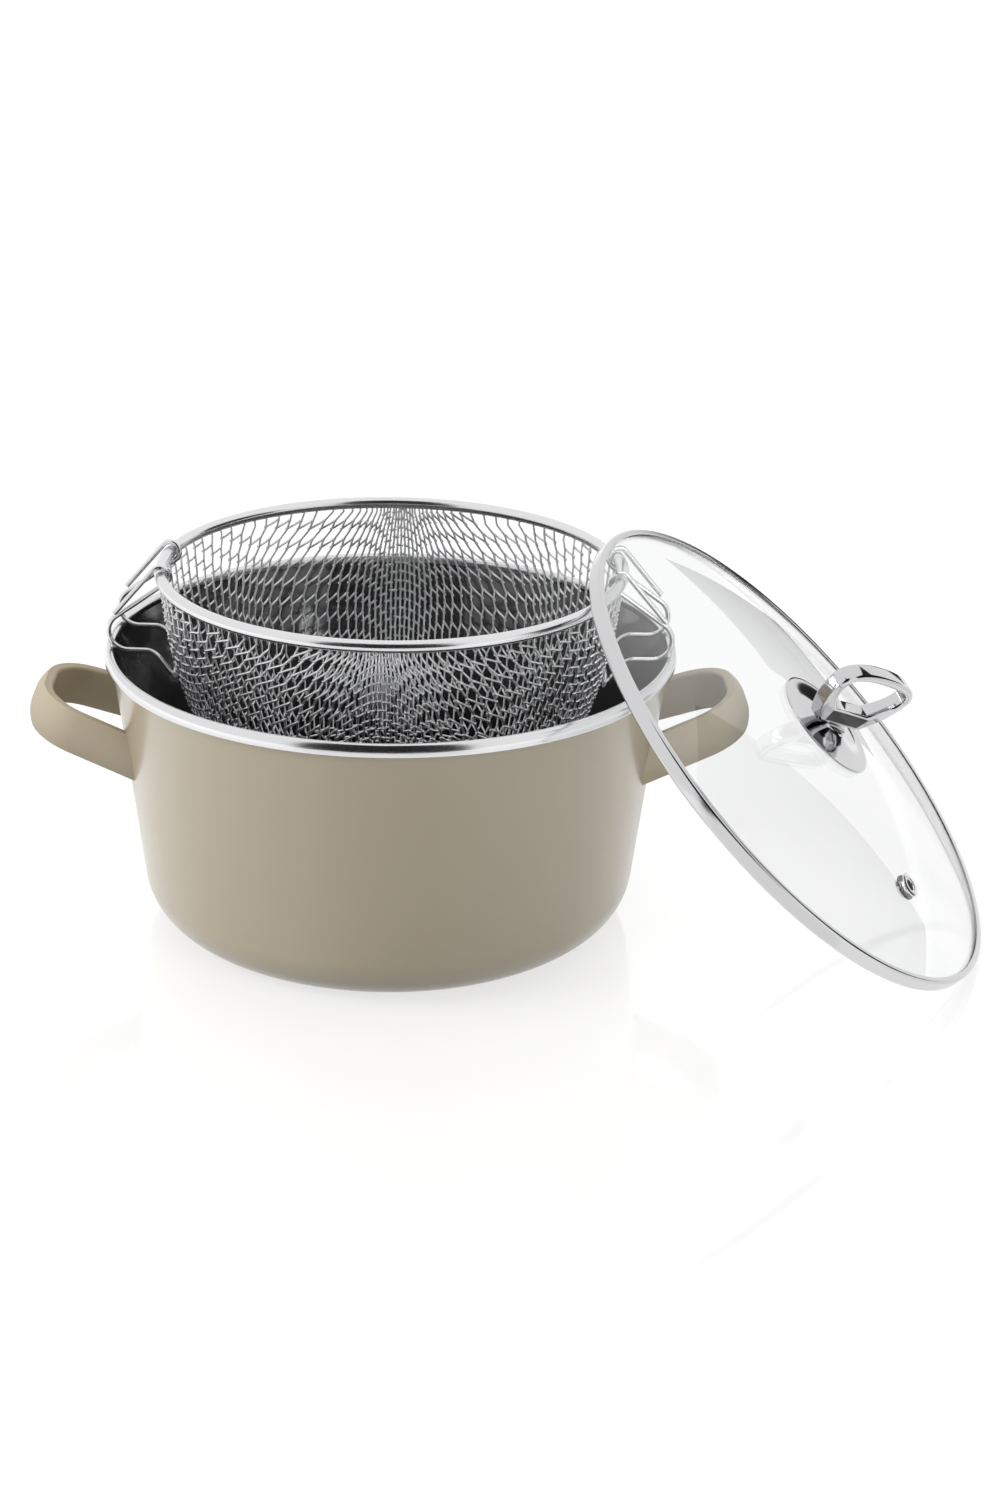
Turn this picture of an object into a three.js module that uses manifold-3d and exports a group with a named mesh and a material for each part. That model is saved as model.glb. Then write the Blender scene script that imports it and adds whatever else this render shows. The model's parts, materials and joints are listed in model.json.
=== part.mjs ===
// Enamelled steel deep-frying pot with a wire frying basket and a glass lid.
// The basket is set up on the rim band by the sprung bends of its two ears, and the lid leans
// on the right ear with its lower edge on the floor.
// Millimetres, +Z up. The origin is on the floor at the pot's axis, and the handles lie along X.

import * as THREE from 'three';
import { mergeVertices } from 'three/addons/utils/BufferGeometryUtils.js';
import Module from 'manifold-3d';

const wasm = await Module();
wasm.setup();

// Clearance between pieces that touch, and how far a cutting solid runs past what it cuts
const gap = 0.3;
const overrun = 2;
const weld_share = 0.001;
const quarter_turn = 90;

// Facets of round pieces
const ring_facets = 48;
const small_facets = 24;
const wire_sides = 6;
const rod_sides = 8;
const arch_facets = 6;

// Pot body: enamelled sheet steel, drawn in one piece
const rim_height = 126.5;
const rim_radius = 127.9;
const wall_slope = 6.8;
const wall_thickness = 1.2;
const corner_radius = 24.6;
const corner_steps = 5;
const lip_height = 3.5;
const lip_flare = 1.1;
const lip_taper_share = 0.667;
const flare_depth = 1.2;

// Rim band: stainless steel strip, rolled over the pot's lip
const band_shoulder = 2.3;
const band_thickness = 0.8;
const band_skirt = 4;
const band_inner_skirt = 2;
const band_draw = 1.1;
const band_steps = 5;

// Handles: enamelled steel straps, flat inside and crowned outside
const strap_height = 19.6;
const strap_thickness = 6;
const strap_edge = 3;
const strap_half_span = 36;
const strap_half_end = 26;
const strap_reach = 42.4;
const strap_bend = 24;
const strap_rise = 20.5;
const strap_centre_height = 88.5;
const strap_root_inset = 2;
const strap_root_run = 12;
const handle_turn = 2.2;
const strap_bend_steps = 7;
const strap_crown_steps = 6;

// Basket: rim rod, netting that narrows downwards, and a flat netting floor
const basket_rim_radius = 104.8;
const basket_rim_rod = 5.6;
const basket_raise = 40.3;
const net_thickness = 1.8;
const net_columns = 28;
const net_strand = 2.2;
const net_least_open_share = 0.2;
const net_depth = 103.2;
const net_bottom_radius = 72;
const net_bulge = 7.2;
const net_rows = 4;
const floor_net_columns = 16;
const floor_net_rows = 2;
const centre_ring_radius = 9;
const centre_ring_wire = 2;

// Basket ears: one bent wire at each side
const ear_wire = 2.4;
const ear_half_span = 17;
const ear_side_step = 2.7;
const ear_tail = 27.2;
const ear_tail_angle = 49.1;
const ear_curl_steps = 9;
const ear_bend_radius = 9;
const ear_bend_steps = 7;
const ear_seat_angle = 45;
const ear_run_in = 11.3;
const ear_bar_drop = 9;
const ear_run_fillet = 8;
const ear_bar_fillet = 4;
const ear_fillet_steps = 4;
const ear_room = 0.6;
const ear_bar_shares = [0.5, 0.333];

// Lid: domed tempered glass in a steel channel band, leaning at the right of the pot
const lid_edge_inset = 1;
const lid_band_height = 7;
const lid_band_lip = 3;
const lid_band_thickness = 0.6;
const lid_band_round = 0.8;
const glass_thickness = 4;
const glass_rise = 20;
const glass_steps = 5;
const lid_turn = -12.88;
const lid_rest_inset = 17.41;
const lid_rest_aside = -8.51;

// Lid knob: flared base and loop of polished steel, held by a screw through the glass
const knob_turn = 54;
const knob_base_radius = 27;
const knob_edge_thickness = 1;
const knob_neck_radius = 9;
const knob_neck_height = 3;
const knob_flare_steps = 6;
const knob_hub_radius = 9;
const knob_underside_steps = 2;
const loop_foot_half_width = 15.8;
const loop_half_width = 28.8;
const loop_top_height = 35.6;
const loop_shoulder_height = 27.3;
const loop_rod_width = 4.4;
const loop_rod_depth = 8.4;
const loop_saddle_height = 9.2;
const loop_edge_round = 1.6;
const screw_radius = 2.5;
const screw_head_radius = 5;
const screw_head_height = 3;
const screw_engagement = 6;
const washer_thickness = 1;
const outer_washer_radius = 8;
const inner_washer_radius = 8.5;

// Steam vent: steel eyelet through the glass, with a washer under it
const vent_spread = 82.9;
const vent_turn = -30.5;
const vent_hole_radius = 2.6;
const vent_tube_radius = 3.7;
const vent_flange_radius = 5.85;
const vent_flange_thickness = 0.9;

const radians = THREE.MathUtils.degToRad;
const slope_tangent = Math.tan(radians(wall_slope));
const cut_margin = overrun / 2;

// One closed body with shared corners, whatever class the shape came from
function welded(geometry) {
  geometry.deleteAttribute('normal');
  geometry.deleteAttribute('uv');
  const merged = mergeVertices(geometry, gap * weld_share);
  const kept = [];
  const index = merged.index.array;
  for (let corner = 0; corner < index.length; corner += 3) {
    const [a, b, c] = index.slice(corner, corner + 3);
    if (a !== b && b !== c && c !== a) {
      kept.push(a, b, c);
    }
  }
  merged.setIndex(kept);
  return merged;
}

// Solid of revolution about Z from points of radius and height, outward side on the right
function turned(outline, facets = ring_facets) {
  const points = outline.map(([radius, height]) => new THREE.Vector2(radius, height));
  const lathe = new THREE.LatheGeometry(points, facets);
  lathe.rotateX(Math.PI / 2);
  return welded(lathe);
}

// Points on an arc in a radius and height plane, from one angle to another in degrees
function arcPoints(centre, radius, from, to, steps) {
  const points = [];
  for (let step = 0; step <= steps; step += 1) {
    const angle = radians(from + ((to - from) * step) / steps);
    points.push([centre[0] + radius * Math.cos(angle), centre[1] + radius * Math.sin(angle)]);
  }
  return points;
}

// Path whose stations are the given points, so that bends get rings and straight runs none
class StationPath extends THREE.Curve {
  constructor(points) {
    super();
    this.spline = new THREE.CatmullRomCurve3(points, false, 'centripetal');
  }

  getPoint(share, target) {
    return this.spline.getPoint(share, target);
  }

  getPointAt(share, target) {
    return this.spline.getPoint(share, target);
  }

  getTangentAt(share, target) {
    return this.spline.getTangent(share, target);
  }
}

// Section swept along points in space
function swept(section, points) {
  const settings = {
    steps: points.length - 1,
    extrudePath: new StationPath(points),
    curveSegments: 1,
    bevelEnabled: false,
  };
  return welded(new THREE.ExtrudeGeometry(section, settings));
}

function roundSection(diameter, sides) {
  const corners = [];
  for (let side = 0; side < sides; side += 1) {
    const angle = (2 * Math.PI * side) / sides;
    corners.push(new THREE.Vector2(Math.cos(angle), Math.sin(angle)).multiplyScalar(diameter / 2));
  }
  return new THREE.Shape(corners);
}

// True arc that rounds the corner between two straight runs
function roundedCorner(before, corner, after, radius, steps) {
  const back = before.clone().sub(corner).normalize();
  const ahead = after.clone().sub(corner).normalize();
  const half_angle = back.angleTo(ahead) / 2;
  const reach = radius / Math.tan(half_angle);
  const centre_way = back.clone().add(ahead).normalize();
  const centre = corner.clone().addScaledVector(centre_way, radius / Math.sin(half_angle));
  const start_arm = corner.clone().addScaledVector(back, reach).sub(centre);
  const end_arm = corner.clone().addScaledVector(ahead, reach).sub(centre);
  const pivot = start_arm.clone().cross(end_arm).normalize();
  const sweep = start_arm.angleTo(end_arm);
  const points = [];
  for (let step = 0; step <= steps; step += 1) {
    const arm = start_arm.clone().applyAxisAngle(pivot, (sweep * step) / steps);
    points.push(centre.clone().add(arm));
  }
  return points;
}

function toSolid(geometry) {
  return new wasm.Manifold(new wasm.Mesh({
    numProp: 3,
    vertProperties: new Float32Array(geometry.attributes.position.array),
    triVerts: new Uint32Array(geometry.index.array),
  }));
}

function subtracted(geometry, tools) {
  let solid = toSolid(geometry);
  for (const tool of tools) {
    solid = solid.subtract(toSolid(tool));
  }
  const result = solid.getMesh();
  const cut = new THREE.BufferGeometry();
  cut.setAttribute('position', new THREE.BufferAttribute(result.vertProperties, 3));
  cut.setIndex(new THREE.BufferAttribute(result.triVerts, 1));
  return cut;
}

function finish(color, roughness, metalness) {
  return new THREE.MeshStandardMaterial({ color, roughness, metalness });
}

const enamel = finish(0xbfb5a2, 0.25, 0);
const steel = finish(0xc4c5c7, 0.15, 1);
const wire = finish(0xb4b6b8, 0.3, 1);
const silicone = finish(0x2b2b2c, 0.6, 0);
const glass = new THREE.MeshStandardMaterial({
  color: 0xe6ebe9,
  roughness: 0.05,
  metalness: 0,
  transparent: true,
  opacity: 0.3,
});

function piece(name, geometry, material) {
  const mesh = new THREE.Mesh(geometry, material);
  mesh.name = name;
  return mesh;
}

// Pot body
const wall_tilt = radians(wall_slope);
const skin_across = wall_thickness / Math.cos(wall_tilt);

function wallRadius(height) {
  return rim_radius - (rim_height - height) * slope_tangent;
}

// The outer corner is tangent to the floor and to the sloping wall
const corner_inset = corner_radius / Math.cos(wall_tilt) - corner_radius * slope_tangent;
const corner_centre = [wallRadius(0) - corner_inset, corner_radius];
const lip_bottom = rim_height - flare_depth;
const lip_inner = wallRadius(rim_height) - wall_thickness + lip_flare + gap;
const shoulder_radius = lip_inner + wall_thickness / 2 + gap;
const shoulder_height = rim_height + band_skirt;
const lip_top = rim_height + lip_height + cut_margin;
const lip_half_top = (wall_thickness / 2) * lip_taper_share;

function potBody() {
  const outer_corner = arcPoints(corner_centre, corner_radius, -90, -wall_slope, corner_steps);
  const inner_radius = corner_radius - wall_thickness;
  const inner_corner = arcPoints(corner_centre, inner_radius, -wall_slope, -90, corner_steps);
  return turned([
    [0, 0],
    ...outer_corner,
    [wallRadius(lip_bottom), lip_bottom],
    [lip_inner + wall_thickness, rim_height + flare_depth],
    [shoulder_radius + wall_thickness / 2, shoulder_height],
    [shoulder_radius + lip_half_top, lip_top],
    [shoulder_radius - lip_half_top, lip_top],
    [shoulder_radius - wall_thickness / 2, shoulder_height],
    [lip_inner, rim_height + flare_depth],
    [wallRadius(lip_bottom) - skin_across, lip_bottom],
    ...inner_corner,
    [0, wall_thickness],
  ]);
}

// Rim band: a half-round top with an outer and a shorter inner skirt
function rimBand() {
  const centre = [shoulder_radius, shoulder_height];
  const inner_shoulder = band_shoulder - band_thickness;
  const outer_foot = shoulder_radius + band_shoulder - band_draw;
  const inner_foot = shoulder_radius - inner_shoulder;
  const inner_bottom = shoulder_height - band_inner_skirt;
  return turned([
    [outer_foot, rim_height],
    ...arcPoints(centre, band_shoulder, 0, 180, band_steps),
    [inner_foot - band_thickness, inner_bottom],
    [inner_foot, inner_bottom],
    ...arcPoints(centre, inner_shoulder, 180, 0, band_steps),
    [outer_foot - band_thickness, rim_height],
    [outer_foot, rim_height],
  ]);
}

// Handles: the strap is bent flat in plan, then tipped up so that it rises as it leaves the pot
function handle() {
  const hinge = wallRadius(strap_centre_height) - strap_root_inset;
  const root = hinge - strap_root_run;
  const end = hinge + strap_reach;
  const front_root = new THREE.Vector3(root, -strap_half_span, 0);
  const front_end = new THREE.Vector3(end, -strap_half_end, 0);
  const back_end = new THREE.Vector3(end, strap_half_end, 0);
  const back_root = new THREE.Vector3(root, strap_half_span, 0);
  const route = [
    front_root,
    ...roundedCorner(front_root, front_end, back_end, strap_bend, strap_bend_steps),
    ...roundedCorner(front_end, back_end, back_root, strap_bend, strap_bend_steps),
    back_root,
  ];
  const half_height = strap_height / 2;
  const crown = strap_thickness - strap_edge;
  const section = new THREE.Shape();
  section.moveTo(-half_height, 0);
  for (let step = 0; step <= strap_crown_steps; step += 1) {
    const across = (2 * step) / strap_crown_steps - 1;
    const depth = -strap_edge / 2 - crown * (1 - across * across);
    section.lineTo(across * half_height, depth);
  }
  section.lineTo(half_height, 0);
  section.lineTo(half_height - strap_edge / 2, strap_edge / 2);
  section.lineTo(-half_height + strap_edge / 2, strap_edge / 2);
  section.closePath();
  const strap = swept(section, route);
  strap.translate(-hinge, 0, 0);
  strap.rotateY(-radians(strap_rise));
  strap.translate(hinge, 0, strap_centre_height);
  strap.rotateZ(radians(handle_turn));
  const low = corner_radius;
  const high = rim_height;
  const pot_space = turned([
    [0, low],
    [wallRadius(low) + gap, low],
    [wallRadius(high) + gap, high],
    [0, high],
  ]);
  return subtracted(strap, [pot_space]);
}

// Basket rim and the profile of the netting under it
const basket_rim_height = rim_height + basket_raise;
const net_top_height = basket_rim_height - basket_rim_rod / 2 - gap;

function netRadius(share) {
  const straight = basket_rim_radius - (basket_rim_radius - net_bottom_radius) * share;
  return straight + net_bulge * Math.sin(Math.PI * share);
}

function wallNetPoint(share, angle, outward) {
  const radius = netRadius(share) + outward;
  const height = net_top_height - net_depth * share;
  return new THREE.Vector3(radius * Math.cos(angle), radius * Math.sin(angle), height);
}

const floor_height = net_top_height - net_depth;
const wall_flat_share = Math.cos(Math.PI / net_columns);
const floor_outer_radius = (net_bottom_radius - net_thickness / 2) * wall_flat_share - gap;
const floor_inner_radius = centre_ring_radius + centre_ring_wire / 2 + gap;

function floorNetPoint(share, angle, outward) {
  const radius = floor_outer_radius - (floor_outer_radius - floor_inner_radius) * share;
  const height = floor_height + net_thickness / 2 - outward;
  return new THREE.Vector3(radius * Math.cos(angle), radius * Math.sin(angle), height);
}

// Netting of diamond gaps in a skin of even thickness, closed by plain edges at both ends
function netting(columns, rows, place) {
  const corners = [];
  const faces = [];
  const levels = 2 * rows;
  const turn = (2 * Math.PI) / columns;

  function pointPair(share, angle) {
    const outer = place(share, angle, net_thickness / 2);
    const inner = place(share, angle, -net_thickness / 2);
    corners.push(...outer.toArray(), ...inner.toArray());
    return corners.length / 3 - 2;
  }

  function skin(a, b, c) {
    faces.push(a, b, c, a + 1, c + 1, b + 1);
  }

  function edge(a, b) {
    faces.push(a, b, a + 1, b, b + 1, a + 1);
  }

  const knots = [];
  for (let level = 0; level <= levels; level += 1) {
    const row = [];
    for (let column = 0; column < columns; column += 1) {
      const offset = (level % 2) / 2;
      row.push(pointPair(level / levels, (column + offset) * turn));
    }
    knots.push(row);
  }

  for (let level = 1; level < levels; level += 1) {
    const half = level % 2;
    for (let column = 0; column < columns; column += 1) {
      const next = (column + 1) % columns;
      const side = half ? next : column;
      const ring = [
        knots[level - 1][side],
        knots[level][column],
        knots[level + 1][side],
        knots[level][next],
      ];
      const middle = (level % 2) / 2 + column + 1 / 2;
      const angle = middle * turn;
      const share = level / levels;
      const width = place(share, angle, 0).distanceTo(place(share, angle + turn / 2, 0));
      const top = place(share - 1 / levels, angle, 0);
      const height = top.distanceTo(place(share, angle, 0));
      const slack = (net_strand / 2) * Math.hypot(1 / width, 1 / height);
      const open = Math.max(1 - slack, net_least_open_share);
      const hole = [
        pointPair(share - open / levels, angle),
        pointPair(share, angle - (open * turn) / 2),
        pointPair(share + open / levels, angle),
        pointPair(share, angle + (open * turn) / 2),
      ];
      for (let k = 0; k < 4; k += 1) {
        const m = (k + 1) % 4;
        skin(ring[k], ring[m], hole[m]);
        skin(ring[k], hole[m], hole[k]);
        edge(hole[k], hole[m]);
      }
    }
  }

  for (let column = 0; column < columns; column += 1) {
    const next = (column + 1) % columns;
    skin(knots[0][column], knots[1][column], knots[0][next]);
    edge(knots[0][column], knots[0][next]);
    skin(knots[levels][next], knots[levels - 1][column], knots[levels][column]);
    edge(knots[levels][next], knots[levels][column]);
  }

  const net = new THREE.BufferGeometry();
  net.setAttribute('position', new THREE.BufferAttribute(new Float32Array(corners), 3));
  net.setIndex(faces);
  return net;
}

function rodRing(radius, diameter, height, sides, facets) {
  const outline = arcPoints([radius, height], diameter / 2, 0, 360, sides);
  return turned(outline, facets);
}

// Basket ear at the right side: tail, curl round the rim rod, sprung leg, bend that sits on the
// rim band, run in, and the bar across the netting, then the same again mirrored
const curl_radius = basket_rim_rod / 2 + ear_wire / 2 + gap;
const curl_x = Math.sqrt(basket_rim_radius ** 2 - ear_half_span ** 2);
const seat_x = Math.sqrt(shoulder_radius ** 2 - ear_half_span ** 2);
const seat_reach = ear_bend_radius + ear_wire / 2 + band_shoulder + gap;
const bend_x = seat_x - seat_reach * Math.cos(radians(ear_seat_angle));
const bend_height = shoulder_height + seat_reach * Math.sin(radians(ear_seat_angle));
const bar_height = rim_height - ear_bar_drop;
const bar_share = (net_top_height - bar_height) / net_depth;
const bar_radius = netRadius(bar_share) + net_thickness / 2 + gap + ear_wire / 2;

function earRoute() {
  const degrees = THREE.MathUtils.radToDeg;
  const across = bend_x - curl_x;
  const down = bend_height - basket_rim_height;
  const reach = Math.hypot(across, down);
  const line = degrees(Math.atan2(down, across));
  const leg_angle = line + degrees(Math.asin((curl_radius + ear_bend_radius) / reach));
  const curl_from = quarter_turn - ear_tail_angle;
  const curl_to = leg_angle + 3 * quarter_turn;
  const curl = arcPoints([curl_x, basket_rim_height], curl_radius, curl_from, curl_to, ear_curl_steps);
  const bend_from = leg_angle + quarter_turn;
  const bend = arcPoints(
    [bend_x, bend_height], ear_bend_radius, bend_from, -quarter_turn, ear_bend_steps);
  const tail_x = curl[0][0] + ear_tail * Math.cos(radians(ear_tail_angle));
  const tail_height = curl[0][1] - ear_tail * Math.sin(radians(ear_tail_angle));
  const y = -ear_half_span;
  const side_y = y - ear_side_step;
  const front = [new THREE.Vector3(tail_x, side_y, tail_height)];
  for (let step = 0; step <= ear_curl_steps; step += 1) {
    const eased = (1 - Math.cos((Math.PI * step) / ear_curl_steps)) / 2;
    front.push(new THREE.Vector3(curl[step][0], side_y + ear_side_step * eased, curl[step][1]));
  }
  for (const [x, height] of bend) {
    front.push(new THREE.Vector3(x, y, height));
  }
  const bend_end = front.at(-1);
  const run_end = new THREE.Vector3(bend_end.x - ear_run_in, y, bend_end.z);
  const bar_end_x = Math.sqrt(bar_radius ** 2 - ear_half_span ** 2);
  const bar_end = new THREE.Vector3(bar_end_x, y, bar_height);
  const bar_angle = Math.asin(ear_half_span / bar_radius);
  const bar_point = (share) => {
    const angle = -bar_angle * share;
    return new THREE.Vector3(bar_radius * Math.cos(angle), bar_radius * Math.sin(angle), bar_height);
  };
  front.push(...roundedCorner(bend_end, run_end, bar_end, ear_run_fillet, ear_fillet_steps));
  const [bar_way, bar_near] = ear_bar_shares.map(bar_point);
  front.push(...roundedCorner(run_end, bar_end, bar_way, ear_bar_fillet, ear_fillet_steps));
  front.push(bar_near);
  const back = front.map((point) => new THREE.Vector3(point.x, -point.y, point.z)).reverse();
  return [...front, bar_point(0), ...back];
}

const ear_route = earRoute();

function ear() {
  return swept(roundSection(ear_wire, wire_sides), ear_route);
}

// Room in the netting for the curls of both ears
function earRoom() {
  const room_wire = ear_wire + 2 * (gap + ear_room);
  const room = swept(roundSection(room_wire, wire_sides), ear_route);
  const mirrored = room.clone().rotateZ(Math.PI);
  return [room, mirrored];
}

// Lid, in its own frame: Z is the knob's axis and zero is the band's lower edge
const lid_radius = shoulder_radius - lid_edge_inset;
const glass_edge_radius = lid_radius - lid_band_thickness - gap;
const lip_radius = lid_radius - lid_band_lip;
const glass_under_lip = lid_band_height - lid_band_thickness - gap;
const dome_radius = (glass_edge_radius ** 2 + glass_rise ** 2) / (2 * glass_rise);
const dome_top_radius = dome_radius + glass_thickness;
const dome_centre = glass_under_lip - Math.sqrt(dome_top_radius ** 2 - lip_radius ** 2);
const apex = dome_centre + dome_top_radius;
const screw_hole_radius = screw_radius + 2 * gap;
const vent_angle = Math.asin(vent_spread / dome_top_radius);

function domeArc(radius, from_radius, to_radius) {
  const from = Math.acos(from_radius / radius);
  const to = Math.acos(to_radius / radius);
  const degrees = THREE.MathUtils.radToDeg;
  return arcPoints([0, dome_centre], radius, degrees(from), degrees(to), glass_steps);
}

function lidGlass() {
  const under = domeArc(dome_radius, screw_hole_radius, glass_edge_radius);
  const over = domeArc(dome_top_radius, glass_edge_radius, screw_hole_radius);
  const dome = turned([...under, ...over, under[0]]);
  const length = glass_thickness + 2 * overrun;
  const drill = new THREE.CylinderGeometry(
    vent_tube_radius + gap, vent_tube_radius + gap, length, small_facets);
  drill.rotateX(Math.PI / 2);
  drill.translate(0, 0, dome_radius + glass_thickness / 2);
  drill.rotateY(vent_angle);
  drill.rotateZ(radians(vent_turn));
  drill.translate(0, 0, dome_centre);
  return subtracted(dome, [welded(drill)]);
}

function lidBand() {
  const inner = lip_radius;
  const sheet = lid_band_thickness;
  const round = lid_band_round;
  return turned([
    [inner, 0],
    [lid_radius - round, 0],
    [lid_radius, round],
    [lid_radius, lid_band_height - round],
    [lid_radius - round, lid_band_height],
    [inner, lid_band_height],
    [inner, lid_band_height - sheet],
    [lid_radius - sheet, lid_band_height - sheet],
    [lid_radius - sheet, sheet],
    [inner, sheet],
    [inner, 0],
  ]);
}

// Knob pieces, on the glass's apex: the base lies just over the dome
function overDome(radius) {
  return gap - dome_top_radius + Math.sqrt(dome_top_radius ** 2 - radius ** 2);
}

const hub_height = washer_thickness + 2 * gap;
const screw_tip = hub_height + screw_engagement;
const base_top = knob_neck_height + cut_margin;
const loop_foot = base_top + gap;

function knobBase() {
  const underside = [];
  for (let step = 0; step <= knob_underside_steps; step += 1) {
    const share = step / knob_underside_steps;
    const radius = knob_hub_radius + (knob_base_radius - knob_hub_radius) * share;
    underside.push([radius, overDome(radius)]);
  }
  const edge_top = overDome(knob_base_radius) + knob_edge_thickness;
  const flare = [];
  for (let step = 0; step <= knob_flare_steps; step += 1) {
    const share = step / knob_flare_steps;
    const radius = knob_base_radius - (knob_base_radius - knob_neck_radius) * share;
    const height = edge_top + (knob_neck_height - edge_top) * share ** 2;
    flare.push([radius, height]);
  }
  return turned([
    [screw_radius + gap, hub_height],
    [knob_hub_radius, hub_height],
    ...underside,
    ...flare,
    [knob_neck_radius - cut_margin, base_top],
    [screw_radius + gap, base_top],
    [screw_radius + gap, hub_height],
  ], ring_facets / 2);
}

// Loop: flat ring that widens upwards, with a deep saddle between its feet that takes the screw
function knobLoop() {
  const half_rod = loop_rod_width / 2;
  const outlines = [half_rod, -half_rod].map((grow) => {
    const foot = loop_foot_half_width + grow;
    const wide = loop_half_width + grow;
    const top = loop_top_height + grow;
    const bottom = grow > 0 ? loop_foot : loop_foot + loop_saddle_height;
    const outline = grow > 0 ? new THREE.Shape() : new THREE.Path();
    outline.moveTo(-foot, bottom);
    outline.lineTo(foot, bottom);
    outline.quadraticCurveTo(wide, (bottom + loop_shoulder_height) / 2, wide, loop_shoulder_height);
    outline.quadraticCurveTo(wide, top, 0, top);
    outline.quadraticCurveTo(-wide, top, -wide, loop_shoulder_height);
    outline.quadraticCurveTo(-wide, (bottom + loop_shoulder_height) / 2, -foot, bottom);
    return outline;
  });
  outlines[0].holes.push(outlines[1]);
  const flat_depth = loop_rod_depth - 2 * loop_edge_round;
  const settings = {
    depth: flat_depth,
    curveSegments: arch_facets,
    bevelEnabled: true,
    bevelThickness: loop_edge_round,
    bevelSize: loop_edge_round,
    bevelOffset: -loop_edge_round,
    bevelSegments: 1,
  };
  const ring = new THREE.ExtrudeGeometry(outlines[0], settings);
  ring.translate(0, 0, -flat_depth / 2);
  ring.rotateX(Math.PI / 2);
  const bore_depth = screw_tip + gap - loop_foot;
  const bore = new THREE.CylinderGeometry(
    screw_radius + gap, screw_radius + gap, 2 * bore_depth, small_facets);
  bore.rotateX(Math.PI / 2);
  bore.translate(0, 0, loop_foot);
  return subtracted(welded(ring), [welded(bore)]);
}

function washer(radius, hole_radius, bottom, thickness) {
  return turned([
    [hole_radius, bottom],
    [radius, bottom],
    [radius, bottom + thickness],
    [hole_radius, bottom + thickness],
    [hole_radius, bottom],
  ], small_facets);
}

const inner_washer_bottom = -glass_thickness - gap - washer_thickness;
const screw_head_top = inner_washer_bottom - gap;

function knobScrew() {
  return turned([
    [0, screw_head_top - screw_head_height],
    [screw_head_radius - cut_margin, screw_head_top - screw_head_height],
    [screw_head_radius, screw_head_top - screw_head_height + cut_margin],
    [screw_head_radius, screw_head_top],
    [screw_radius, screw_head_top],
    [screw_radius, screw_tip],
    [0, screw_tip],
  ], small_facets);
}

// Vent pieces, on the dome's upper face where the eyelet goes through
function ventEyelet() {
  const flange_bottom = gap;
  const flange_top = gap + vent_flange_thickness;
  const tube_bottom = -glass_thickness - 2 * gap - 2 * vent_flange_thickness;
  const collar = vent_tube_radius + vent_flange_thickness;
  return turned([
    [vent_hole_radius, tube_bottom],
    [collar, tube_bottom],
    [collar, tube_bottom + vent_flange_thickness],
    [vent_tube_radius, tube_bottom + vent_flange_thickness],
    [vent_tube_radius, flange_bottom],
    [vent_flange_radius, flange_bottom],
    [vent_flange_radius, flange_top - gap],
    [vent_flange_radius - gap, flange_top],
    [vent_hole_radius, flange_top],
    [vent_hole_radius, tube_bottom],
  ], small_facets);
}

function ventWasher() {
  const thickness = vent_flange_thickness - gap;
  const bottom = -glass_thickness - gap - thickness;
  return washer(vent_flange_radius, vent_tube_radius + gap, bottom, thickness);
}

// Assembly of the pot, which stands on the floor
const object = new THREE.Group();
object.add(piece('pot_body', potBody(), enamel));
object.add(piece('rim_band', rimBand(), steel));
const handle_right = piece('handle_right', handle(), enamel);
const handle_left = piece('handle_left', handle(), enamel);
handle_left.rotation.z = Math.PI;
object.add(handle_right, handle_left);

// Assembly of the basket, set up on the rim band
const rim_rod = rodRing(
  basket_rim_radius, basket_rim_rod, basket_rim_height, rod_sides, ring_facets);
object.add(piece('basket_rim', rim_rod, wire));
const wall_net = netting(net_columns, net_rows, wallNetPoint);
object.add(piece('basket_wall', subtracted(wall_net, earRoom()), wire));
const floor_net = netting(floor_net_columns, floor_net_rows, floorNetPoint);
object.add(piece('basket_floor', floor_net, wire));
const centre_ring = rodRing(
  centre_ring_radius, centre_ring_wire, floor_height, wire_sides, small_facets);
object.add(piece('basket_centre_ring', centre_ring, wire));
const ear_right = piece('basket_ear_right', ear(), wire);
const ear_left = piece('basket_ear_left', ear(), wire);
ear_left.rotation.z = Math.PI;
object.add(ear_right, ear_left);

// Assembly of the lid. Its lower edge stands on the floor, and the glass leans on the front curl
// of the right ear, near the lid's upper edge. A handle that reaches further pushes the lid out.
const turn = radians(lid_turn);
const rest_down = lid_rest_inset - lid_radius;
const rest_distance = dome_radius - gap - ear_wire / 2 - curl_radius;
const rest_dome_height = Math.sqrt(rest_distance ** 2 - rest_down ** 2 - lid_rest_aside ** 2);
const rest_up = dome_centre + rest_dome_height;
const rest_reach = lid_radius - rest_down;
const rest_length = Math.hypot(rest_reach, rest_up);
const lean = Math.asin((basket_rim_height - gap) / rest_length) - Math.atan2(rest_up, rest_reach);
const lid_turned = new THREE.Euler(0, lean, turn, 'ZYX');
const curl_y = -ear_half_span - ear_side_step / 2;
const curl_centre = new THREE.Vector3(curl_x, curl_y, basket_rim_height);
const rest_arm = new THREE.Vector3(rest_down, lid_rest_aside, rest_up).applyEuler(lid_turned);
const lid_place = curl_centre.clone().sub(rest_arm);
const dome_arm = new THREE.Vector3(0, 0, dome_centre).applyEuler(lid_turned);

// How far the lid has to move out for the underside of its glass to clear a point
function pushedOut(point) {
  const arm = point.clone().sub(lid_place).sub(dome_arm);
  const clear = dome_radius - gap;
  return arm.x - Math.sqrt(clear ** 2 - arm.y ** 2 - arm.z ** 2);
}

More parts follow.
